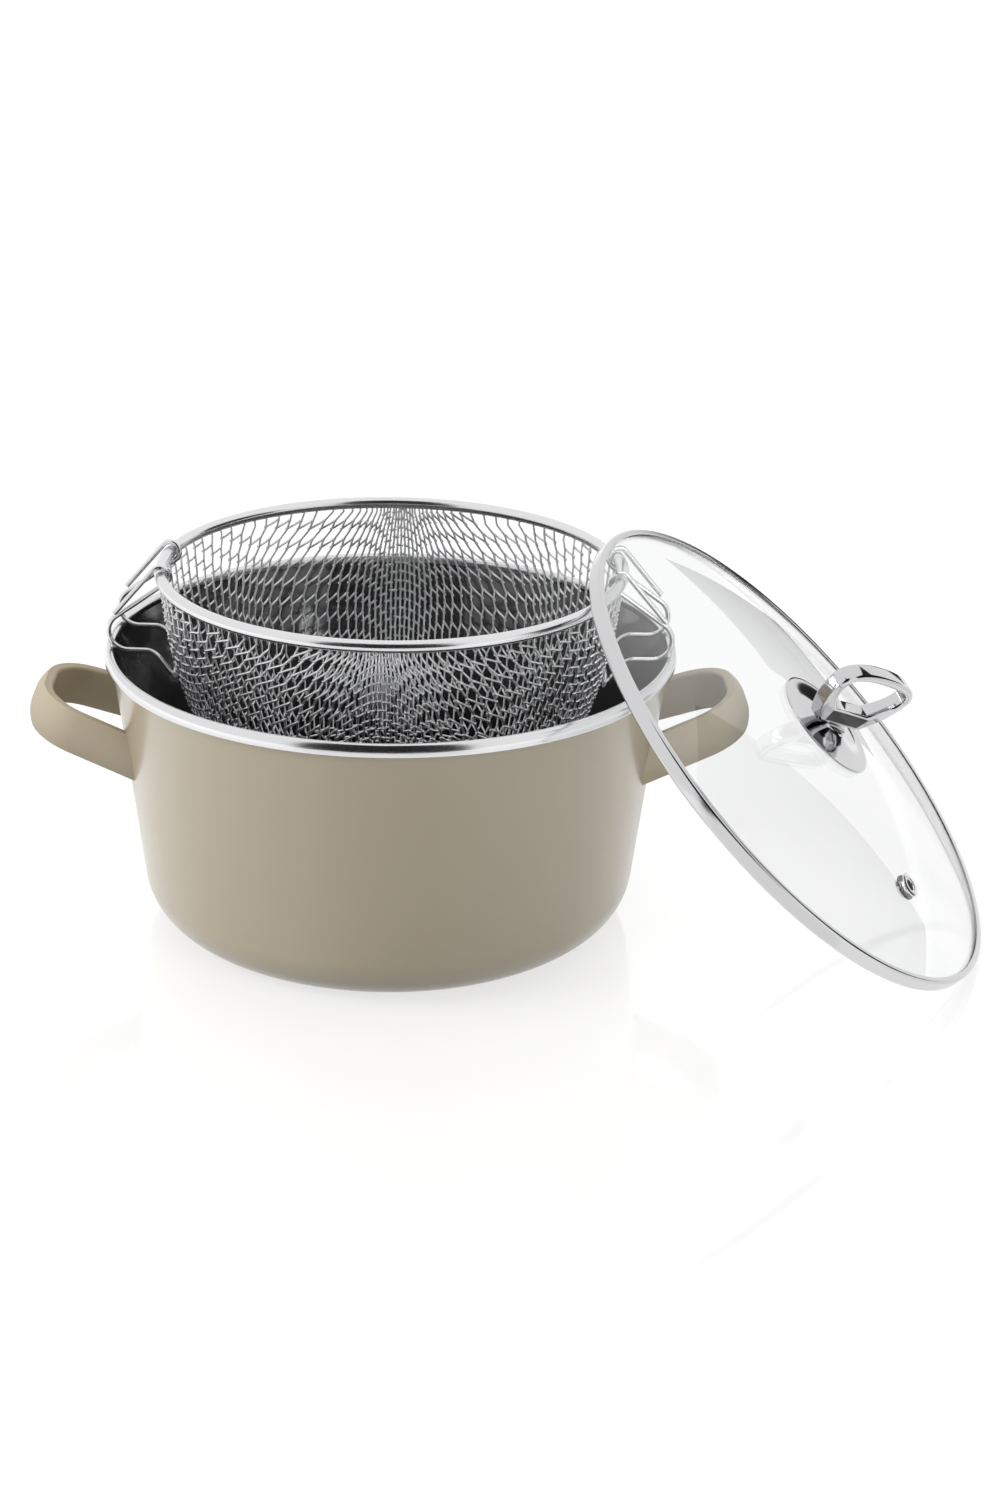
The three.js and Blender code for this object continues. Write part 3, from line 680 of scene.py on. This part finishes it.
def strand_angles():
    """An even number of angles, closest together at the front and back."""
    fine = 7200
    reach = [0.0]
    for step in range(fine):
        angle = 2 * pi * (step + 0.5) / fine
        reach.append(reach[-1] + hoop_radius * 2 * pi / fine / strand_spacing(angle))
    count = 2 * round(reach[-1] / 2)
    angles = []
    step = 0
    for strand in range(count):
        wanted = reach[-1] * strand / count
        while reach[step + 1] < wanted:
            step += 1
        within = (wanted - reach[step]) / (reach[step + 1] - reach[step])
        angles.append(2 * pi * (step + within) / fine)
    return angles


def link_rise(angle):
    """How much higher a link ends than it starts: level at the sides and in the middle of a gather."""
    return net_period / 2 * sin(angle) ** 2 * max(-1, min(1, gather_turn * sin(2 * angle)))


def strand_pull(angle):
    """How far a link pulls its strand aside: not at all at the sides of the basket."""
    return strand_spacing(angle) * (front_pull * sin(angle) ** 2)


def fanned(angle, share):
    """A strand's angle at a share of the depth: below the hoop it fans out from its gather."""
    from_gather = angle % pi - pi / 2
    opened = sin(pi / 2 * min(max(share / fan_depth_share, 0.0), 1.0))
    return angle + fan_strength * opened * from_gather * exp(-(from_gather / fan_width) ** 2)


def polar(radius, angle, height):
    """A point at a radius and an angle round the Z axis."""
    return (radius * cos(angle), radius * sin(angle), height)


def net_radius(share):
    """The netting's radius at a share of its depth."""
    straight = hoop_radius - (hoop_radius - net_foot_radius) * share
    return straight + net_bulge * sin(pi * min(max(share, 0.0), 1.0))


def net_point(travel, angle, aside, outward):
    """A point of the netting: travel down the wall in mm, then an offset round and outwards."""
    share = travel / net_depth
    radius = net_radius(share) + outward
    return polar(radius, fanned(angle, share) + aside / radius, net_top - travel)


def strand_run(angle, phase):
    """A strand from the hoop down, swung to the right and left by its links in turn."""
    pull = strand_pull(angle)
    points = [net_point(-clearance - hoop_wire / 2, angle, 0, 0)]
    travel = phase % (net_period / 2)
    side = 1 if phase < net_period / 2 else -1
    while travel < net_depth:
        points.append(net_point(travel, angle, side * pull, strand_under))
        travel += net_period / 2
        side = -side
    points.append(net_point(net_depth, angle, 0, 0))
    return points


def link_run(travel, lift, angle, next_angle):
    """A link that is hooked round its strand, runs across and is hooked round the next one."""
    pull = strand_pull(angle)
    next_pull = strand_pull(next_angle)
    gap = next_angle - angle
    end = travel - lift
    return [
        net_point(travel + hook_reach, angle, pull - hook_side, hook_under),
        net_point(travel, angle, pull - hook_pass, hook_over),
        net_point(travel - lift * 0.3, angle + gap * 0.3, 0, link_over),
        net_point(travel - lift * 0.7, angle + gap * 0.7, 0, link_over),
        net_point(end, next_angle, -next_pull + hook_pass, hook_over),
        net_point(end - hook_reach, next_angle, -next_pull + hook_side, hook_under),
    ]


angles = strand_angles()
strand_phase = [0.0]
for angle, next_angle in zip(angles, angles[1:]):
    rise = link_rise((angle + next_angle) / 2)
    strand_phase.append((strand_phase[-1] - rise + net_period / 2) % net_period)

net_runs = []
for angle, next_angle, phase in zip(angles, angles[1:] + [angles[0] + 2 * pi], strand_phase):
    net_runs.append(strand_run(angle, phase))
    lift = link_rise((angle + next_angle) / 2)
    travel = phase
    while travel - max(lift, 0) < net_depth - last_link_start:
        upper = min(travel, travel - lift)
        lower = max(travel, travel - lift)
        if upper > first_link_gap and lower < net_depth - last_link_gap:
            net_runs.append(link_run(travel, lift, angle, next_angle))
        travel += net_period


def netting_steel():
    """Drawn steel wire with brighter and duller stretches."""
    finish, nodes, links, shader = new_finish("net_wire_steel", (0.78, 0.78, 0.79), 0.24, metallic=1.0)
    wear = noise_in(nodes, links, place_on(nodes), scale=240, detail=3)
    links.new(mapped(nodes, links, wear, low=0.2, high=0.4), shader.inputs["Roughness"])
    tone = between(nodes, links, wear, (0.84, 0.84, 0.85), (0.66, 0.66, 0.67))
    links.new(tone, shader.inputs["Base Color"])
    return finish


def round_wire(name, runs, wire, roundness, smooth, finish):
    """Runs of round wire as one mesh."""
    shape = curve_from(name, runs)
    shape.data.bevel_depth = wire / 2 * mm
    shape.data.bevel_resolution = roundness
    shape = made_mesh(shape, smooth)
    shape.data.materials.append(finish)
    return shape


net_finish = netting_steel()
wall_net = round_wire("knitted_net_wall", net_runs, net_wire, roundness=1, smooth=100, finish=net_finish)
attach(wall_net, "basket")
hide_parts("basket_wall")

# The netting's floor: fewer and fewer strands go on towards the ring that gathers them
floor_height = net_top - net_depth + net_skin
floor_link_step = 9.0
floor_link_lift = 0.4
floor_swing = 0.5
ring_radius = 9.0
ring_wire = 2.0
thin_out = [(net_foot_radius, 2), (44.0, 4), (22.0, 8)]


def floor_strand(angle, outer, inner):
    """A strand of the floor on its way in, swung a little to the left and right."""
    points = []
    radius = outer
    swing = floor_swing
    while radius > inner:
        points.append(polar(radius, angle + swing / radius, floor_height))
        radius -= floor_link_step / 2
        swing = -swing
    points.append(polar(inner, angle, floor_height))
    return points


floor_runs = []
inner_radii = [outer for outer, keep in thin_out[1:]] + [ring_radius]
for (outer, keep), inner in zip(thin_out, inner_radii):
    kept = [fanned(angle, 1.0) for angle in angles[::keep]]
    for index, (angle, next_angle) in enumerate(zip(kept, kept[1:] + [kept[0] + 2 * pi])):
        floor_runs.append(floor_strand(angle, outer, inner))
        radius = outer - (floor_link_step / 2 if index % 2 else 0)
        while radius >= inner:
            ends = [polar(radius, side, floor_height + floor_link_lift) for side in (angle, next_angle)]
            floor_runs.append(ends)
            radius -= floor_link_step

floor_net = round_wire("knitted_net_floor", floor_runs, net_wire, roundness=1, smooth=100, finish=net_finish)
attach(floor_net, "basket")
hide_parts("basket_floor")

ring_section = arc((ring_radius, floor_height - net_skin), ring_wire / 2, 0, 360, 12)[:-1]
gather_ring = spun("net_gather_ring", ring_section, 48)
gather_ring.data.materials.append(wire_bright)
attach(gather_ring, "basket")
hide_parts("basket_centre_ring")


# Basket ears
# One bent spring wire at each side: a tail and a curl round the hoop, a leg down to a round bend
# that sits on the rim band, a run in, and a bar across the netting, then the same mirrored.
ear_wire = 2.4
ear_half_span = 17.0
ear_side_step = 2.7
ear_tail = 27.2
ear_tail_angle = radians(49.1)
ear_bend_radius = 9.0
ear_seat_angle = radians(45)
ear_run_in = 11.3
ear_run_round = 8.0
ear_bar_drop = 9.0
ear_bar_round = 4.0
curl_steps = 40

curl_radius = hoop_wire / 2 + ear_wire / 2 + clearance
curl_x = sqrt(hoop_radius ** 2 - ear_half_span ** 2)
seat_x = sqrt(shoulder_radius ** 2 - ear_half_span ** 2)
seat_reach = ear_bend_radius + ear_wire / 2 + bead_radius + clearance
bend_x = seat_x - seat_reach * cos(ear_seat_angle)
bend_height = shoulder_height + seat_reach * sin(ear_seat_angle)
bar_height = rim_height - ear_bar_drop
bar_radius = net_radius((net_top - bar_height) / net_depth) + net_skin + clearance + ear_wire / 2


def ear_route():
    """Points of the right ear from its front tail to its back tail."""
    across = bend_x - curl_x
    down = bend_height - hoop_height
    line = degrees(atan2(down, across))
    leg_angle = line + degrees(asin((curl_radius + ear_bend_radius) / hypot(across, down)))
    tail_angle = 90 - degrees(ear_tail_angle)
    curl_points = arc((curl_x, hoop_height), curl_radius, tail_angle, leg_angle + 270, curl_steps)
    bend_points = arc((bend_x, bend_height), ear_bend_radius, leg_angle + 90, -90, 24)
    side = -ear_half_span - ear_side_step
    tail = Vector((curl_points[0][0] + ear_tail * cos(ear_tail_angle), side,
                   curl_points[0][1] - ear_tail * sin(ear_tail_angle)))
    front = [tail]
    for step, (x, height) in enumerate(curl_points):
        eased = (1 - cos(pi * step / curl_steps)) / 2
        front.append(Vector((x, side + ear_side_step * eased, height)))
    front += [Vector((x, -ear_half_span, height)) for x, height in bend_points]
    bend_end = front[-1]
    run_end = Vector((bend_end.x - ear_run_in, -ear_half_span, bend_end.z))
    bar_end = Vector((sqrt(bar_radius ** 2 - ear_half_span ** 2), -ear_half_span, bar_height))
    bar_turn = asin(ear_half_span / bar_radius)
    bar = [Vector(polar(bar_radius, -bar_turn * share, bar_height)) for share in (0.5, 0.4, 0.3, 0.2, 0.1)]
    front += rounded_corner(bend_end, run_end, bar_end, ear_run_round, 12)
    front += rounded_corner(run_end, bar_end, bar[0], ear_bar_round, 12)
    front += bar
    back = [Vector((point.x, -point.y, point.z)) for point in reversed(front)]
    return front + [Vector((bar_radius, 0, bar_height))] + back


ears = (("wire_ear_right", "basket_ear_right", 0.0), ("wire_ear_left", "basket_ear_left", pi))
for name, node, way in ears:
    turned_route = [Matrix.Rotation(way, 3, "Z") @ point for point in ear_route()]
    ear = round_wire(name, [turned_route], ear_wire, roundness=5, smooth=60, finish=wire_bright)
    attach(ear, "basket")
    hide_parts(node)


# Lid glass
# Domed tempered glass, 4 mm thick with a ground edge, drilled for the knob's screw and the vent.
# The lid's own frame has Z along the knob and zero at the band's lower edge.
lid_inset = 1.0
lid_radius = shoulder_radius - lid_inset
lid_band_height = 7.0
lid_band_lip = 3.0
lid_sheet = 0.6
glass_thickness = 4.0
glass_rise = 20.0
edge_grind_under = 0.8
edge_grind_over = 0.2
knob_turn = radians(54)
vent_spread = 82.9
vent_turn = radians(-30.5)
vent_tube_radius = 3.7
screw_hole = 3.1
drill_length = 12.0
drill_sink = 2.0

glass_edge = lid_radius - lid_sheet - clearance
glass_under_lip = lid_band_height - lid_sheet - clearance
dome_radius = (glass_edge ** 2 + glass_rise ** 2) / (2 * glass_rise)
dome_top_radius = dome_radius + glass_thickness
dome_middle = glass_under_lip - sqrt(dome_top_radius ** 2 - (lid_radius - lid_band_lip) ** 2)
apex = dome_middle + dome_top_radius

lid_axis = Vector(next(joint["axis"] for joint in frame["joints"] if joint["name"] == "lid_off")).normalized()
lid_across = Vector((0, 0, 1)).cross(lid_axis).normalized()
lid_down = lid_across.cross(lid_axis)
band_low, band_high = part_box("lid_band")
lid_place = (band_low + band_high) / 2 - lid_axis * (lid_band_height / 2 * mm)
lid_frame = Matrix.Translation(lid_place) @ Matrix((lid_down, lid_across, lid_axis)).transposed().to_4x4()
knob_frame = lid_frame @ Matrix.Translation((0, 0, apex * mm)) @ Matrix.Rotation(knob_turn, 4, "Z")
vent_frame = lid_frame @ Matrix.Translation((0, 0, dome_middle * mm)) @ Matrix.Rotation(vent_turn, 4, "Z")
vent_frame = vent_frame @ Matrix.Rotation(asin(vent_spread / dome_top_radius), 4, "Y")
vent_frame = vent_frame @ Matrix.Translation((0, 0, dome_top_radius * mm))


def put(shape, own_frame):
    """Turns and moves a piece's mesh from its own frame to its place."""
    bpy.ops.object.select_all(action="DESELECT")
    shape.select_set(True)
    bpy.context.view_layer.objects.active = shape
    shape.matrix_world = own_frame
    bpy.ops.object.transform_apply(location=True, rotation=True, scale=True)
    return shape


def dome(radius, start_radius, end_radius, steps):
    """Points of the dome between two distances from its axis."""
    start, end = [degrees(acos(away / radius)) for away in (start_radius, end_radius)]
    return arc((0, dome_middle), radius, start, end, steps)


def clear_glass():
    """Clear glass with a faint wave in its face, which throws only a faint shadow."""
    finish, nodes, links, shader = new_finish("clear_lid_glass", (0.892, 0.899, 0.897), roughness=0.0)
    shader.inputs["Transmission Weight"].default_value = 1.0
    shader.inputs["IOR"].default_value = 1.46
    wave = noise_in(nodes, links, place_on(nodes), scale=9, detail=1)
    relief(nodes, links, shader, wave, strength=0.03, depth=1.0)
    pale = nodes.new("ShaderNodeBsdfTransparent")
    pale.inputs["Color"].default_value = (0.93, 0.93, 0.93, 1.0)
    whole = nodes.new("ShaderNodeMixShader")
    links.new(nodes.new("ShaderNodeLightPath").outputs["Is Shadow Ray"], whole.inputs["Fac"])
    links.new(shader.outputs[0], whole.inputs[1])
    links.new(pale.outputs[0], whole.inputs[2])
    links.new(whole.outputs[0], nodes["Material Output"].inputs["Surface"])
    return finish


glass_outline = dome(dome_radius, screw_hole, glass_edge - edge_grind_under, 30)
glass_outline += dome(dome_top_radius, glass_edge - edge_grind_over, screw_hole, 30)
glass = spun("domed_lid_glass", glass_outline, 160)
put(glass, lid_frame)
bpy.ops.object.select_all(action="DESELECT")
drill_radius = (vent_tube_radius + clearance) * mm
bpy.ops.mesh.primitive_cylinder_add(vertices=48, radius=drill_radius, depth=drill_length * mm)
drill = put(bpy.context.object, vent_frame @ Matrix.Translation((0, 0, -drill_sink * mm)))
cut(glass, drill)
glass.data.materials.append(clear_glass())
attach(glass, "lid")
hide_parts("lid_glass")


# Lid band
# A narrow strip of stainless steel rolled to a channel round the edge of the glass. It is
# polished, and its ends are butted and pressed together.
channel_round = 1.2
channel_fold = 1.6
lip_point = 0.25
lid_steel = steel("rolled_lid_steel", (0.64, 0.64, 0.65),
                  smooth=0.08, dull=0.2, fineness=2600, bump_strength=0.2, own_frame=lid_frame)

lip_inner_radius = lid_radius - lid_band_lip
round_radius = lid_radius - channel_round
channel_inside = lid_radius - lid_sheet
lip_under = lid_band_height - lid_sheet
channel = [(lip_inner_radius, 0)]
channel += arc((round_radius, channel_round), channel_round, -90, 0, 8)
channel += arc((round_radius, lid_band_height - channel_round), channel_round, 0, 90, 8)
channel += [(lip_inner_radius, lid_band_height)]
channel += [(lip_inner_radius - lip_point, lid_band_height - lid_sheet / 2)]
channel += [(lip_inner_radius, lip_under), (round_radius, lip_under)]
channel += [(channel_inside, lid_band_height - channel_fold), (channel_inside, channel_fold)]
channel += [(round_radius, lid_sheet), (lip_inner_radius, lid_sheet)]
lid_channel = put(spun("lid_edge_channel", channel, 192), lid_frame)
lid_channel.data.materials.append(lid_steel)
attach(lid_channel, "lid")
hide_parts("lid_band")


# Knob
# Polished steel knob: a low flared foot like a trumpet's bell, and on it a loop whose bottom is a
# deep saddle and which widens upwards. A screw through the glass holds it between two washers.
knob_radius = 27.0
knob_edge_round = 0.5
knob_flare_power = 2.2
knob_flare_steps = 24
knob_hollow = 1.6
knob_neck = 9.0
knob_neck_height = 3.0
knob_neck_round = 1.0
loop_foot = 4.3
loop_half_foot = 15.8
loop_half_wide = 28.8
loop_shoulder = 27.3
loop_top = 35.6
loop_rod = 4.4
loop_depth = 8.4
loop_saddle = 9.2
loop_round = 1.7

knob_steel = steel("polished_knob_steel", (0.62, 0.62, 0.63),
                   smooth=0.04, dull=0.11, fineness=1800, bump_strength=0.06, own_frame=knob_frame)
knob_edge = clearance - (dome_top_radius - sqrt(dome_top_radius ** 2 - knob_radius ** 2))
knob_rim = knob_radius - knob_edge_round
knob_crown = knob_neck_height + knob_neck_round
flare_foot = knob_edge + 2 * knob_edge_round
foot_outline = [(0, knob_hollow), (knob_neck, knob_hollow), (knob_neck, clearance), (knob_rim, knob_edge)]
foot_outline += arc((knob_rim, knob_edge + knob_edge_round), knob_edge_round, -60, 60, 6)
for step in range(knob_flare_steps + 1):
    share = step / knob_flare_steps
    foot_outline.append((knob_rim - (knob_rim - knob_neck) * share,
                         flare_foot + (knob_neck_height - flare_foot) * share ** knob_flare_power))
foot_outline += [(knob_neck - knob_neck_round * 0.4, knob_neck_height + knob_neck_round * 0.6)]
foot_outline += [(knob_neck - knob_neck_round, knob_crown), (0, knob_crown)]
knob_foot = put(spun("knob_flared_foot", foot_outline, 96), knob_frame)
knob_foot.data.materials.append(knob_steel)
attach(knob_foot, "lid")
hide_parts("knob_base")


def bowed(start, control, end, steps):
    """Points of a curve that is drawn towards a control point, without its last point."""
    points = []
    for step in range(steps):
        share = step / steps
        points.append(start * (1 - share) ** 2 + control * 2 * share * (1 - share) + end * share ** 2)
    return points


def loop_outline(grow):
    """The loop's outer outline, or with a negative growth its opening, from its middle line."""
    foot, wide, top = loop_half_foot + grow, loop_half_wide + grow, loop_top + grow
    bottom = loop_foot if grow > 0 else loop_foot + loop_saddle
    middle = (bottom + loop_shoulder) / 2
    corners = [(foot, bottom), (wide, middle), (wide, loop_shoulder), (wide, top), (0, top),
               (-wide, top), (-wide, loop_shoulder), (-wide, middle), (-foot, bottom)]
    a, b, c, d, e, f, g, h, i = [Vector((x, y, 0)) for x, y in corners]
    return bowed(a, b, c, 16) + bowed(c, d, e, 20) + bowed(e, f, g, 20) + bowed(g, h, i, 16) + [i]


loop = curve_from("knob_bent_loop", [loop_outline(loop_rod / 2), loop_outline(-loop_rod / 2)], closed=True)
loop.data.dimensions = "2D"
loop.data.fill_mode = "BOTH"
loop.data.offset = -loop_round * mm
loop.data.extrude = (loop_depth / 2 - loop_round) * mm
loop.data.bevel_depth = loop_round * mm
loop.data.bevel_resolution = 6
loop = made_mesh(loop, smooth=35)
loop.data.transform(Matrix.Rotation(radians(90), 4, "X"))
put(loop, knob_frame)
loop.data.materials.clear()
loop.data.materials.append(knob_steel)
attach(loop, "lid")
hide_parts("knob_loop")

# The flat faces of the saddle look black in the photograph, so each has a thin dark polished skin
face_inset = 1.9
face_proud = 0.04
face_sunk = 0.2
face_spread_foot = 0.6
face_spread_top = 2.6
face_edge = 0.03
face_foot = loop_foot + face_inset
face_top = loop_foot + loop_saddle - face_inset / 2
# Painted reflection: the skins' near-black steel stands in for the dark room that the polished faces mirror.
painted_reflection_steel = steel("saddle_painted_reflection_steel", (0.012, 0.012, 0.013),
                   smooth=0.08, dull=0.16, fineness=1800, bump_strength=0.04, own_frame=knob_frame)
for name, side in (("saddle_painted_reflection_front", -1), ("saddle_painted_reflection_back", 1)):
    bpy.ops.object.select_all(action="DESELECT")
    bpy.ops.mesh.primitive_cube_add(size=mm)
    face = bpy.context.object
    face.name = name
    for corner in face.data.vertices:
        across, along, up = [2 * value / mm for value in corner.co]
        half = loop_half_foot + (face_spread_top if up > 0 else face_spread_foot) - face_inset
        depth = side * (loop_depth / 2 - face_sunk) + along * (face_sunk + face_proud)
        corner.co = Vector((across * half, depth, face_top if up > 0 else face_foot)) * mm
    rounding = face.modifiers.new("rounding", "BEVEL")
    rounding.width = face_edge * mm
    bpy.ops.object.modifier_apply(modifier=rounding.name)
    put(face, knob_frame)
    face.data.materials.append(painted_reflection_steel)
    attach(face, "lid")


def silicone():
    """Black silicone rubber with a fine matt grain."""
    finish, nodes, links, shader = new_finish("washer_silicone", (0.03, 0.03, 0.03), roughness=0.6)
    grain = noise_in(nodes, links, place_on(nodes), scale=900, detail=2)
    links.new(mapped(nodes, links, grain, low=0.5, high=0.75), shader.inputs["Roughness"])
    return finish


# The screw and the washers keep the meshes of the part's source and get their finishes here
screw_steel = steel("screw_steel", (0.62, 0.62, 0.63),
                    smooth=0.25, dull=0.4, fineness=1800, bump_strength=0.2, own_frame=knob_frame)
rubber = silicone()
small_parts = (("knob_screw", screw_steel), ("knob_washer_outer", rubber), ("knob_washer_inner", rubber),
               ("vent_washer", rubber))
for node, finish in small_parts:
    for slot in frame["nodes"][node].material_slots:
        slot.material = finish


# Steam vent
# A steel eyelet drawn through the glass, with a rolled flange on top. Below the glass its tube is
# flared over a washer.
vent_hole = 2.6
vent_flange = 5.85
vent_flange_thickness = 0.9
flange_under = 0.3
flange_round = 0.4
mouth_round = 0.7
mouth_rise = 0.2
tube_end_rise = 0.3
tube_end_width = 0.4

vent_steel = steel("eyelet_steel", (0.78, 0.78, 0.79),
                   smooth=0.1, dull=0.22, fineness=2600, bump_strength=0.15, own_frame=vent_frame)
tube_foot = -glass_thickness - 2 * clearance - 2 * vent_flange_thickness
collar = vent_tube_radius + vent_flange_thickness
collar_top = tube_foot + vent_flange_thickness
eyelet_outline = [(vent_hole, tube_foot + tube_end_rise), (vent_hole + tube_end_width, tube_foot)]
eyelet_outline += [(collar, tube_foot), (collar, collar_top), (vent_tube_radius, collar_top)]
eyelet_outline += [(vent_tube_radius, clearance), (vent_flange - flange_under, clearance)]
eyelet_outline += arc((vent_flange - flange_round, clearance + flange_round), flange_round, -70, 90, 6)
eyelet_outline += arc((vent_hole + mouth_round, clearance + mouth_rise), mouth_round, 90, 180, 6)
eyelet = put(spun("vent_eyelet_rolled", eyelet_outline, 48), vent_frame)
eyelet.data.materials.append(vent_steel)
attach(eyelet, "lid")
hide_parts("vent_eyelet")


import json
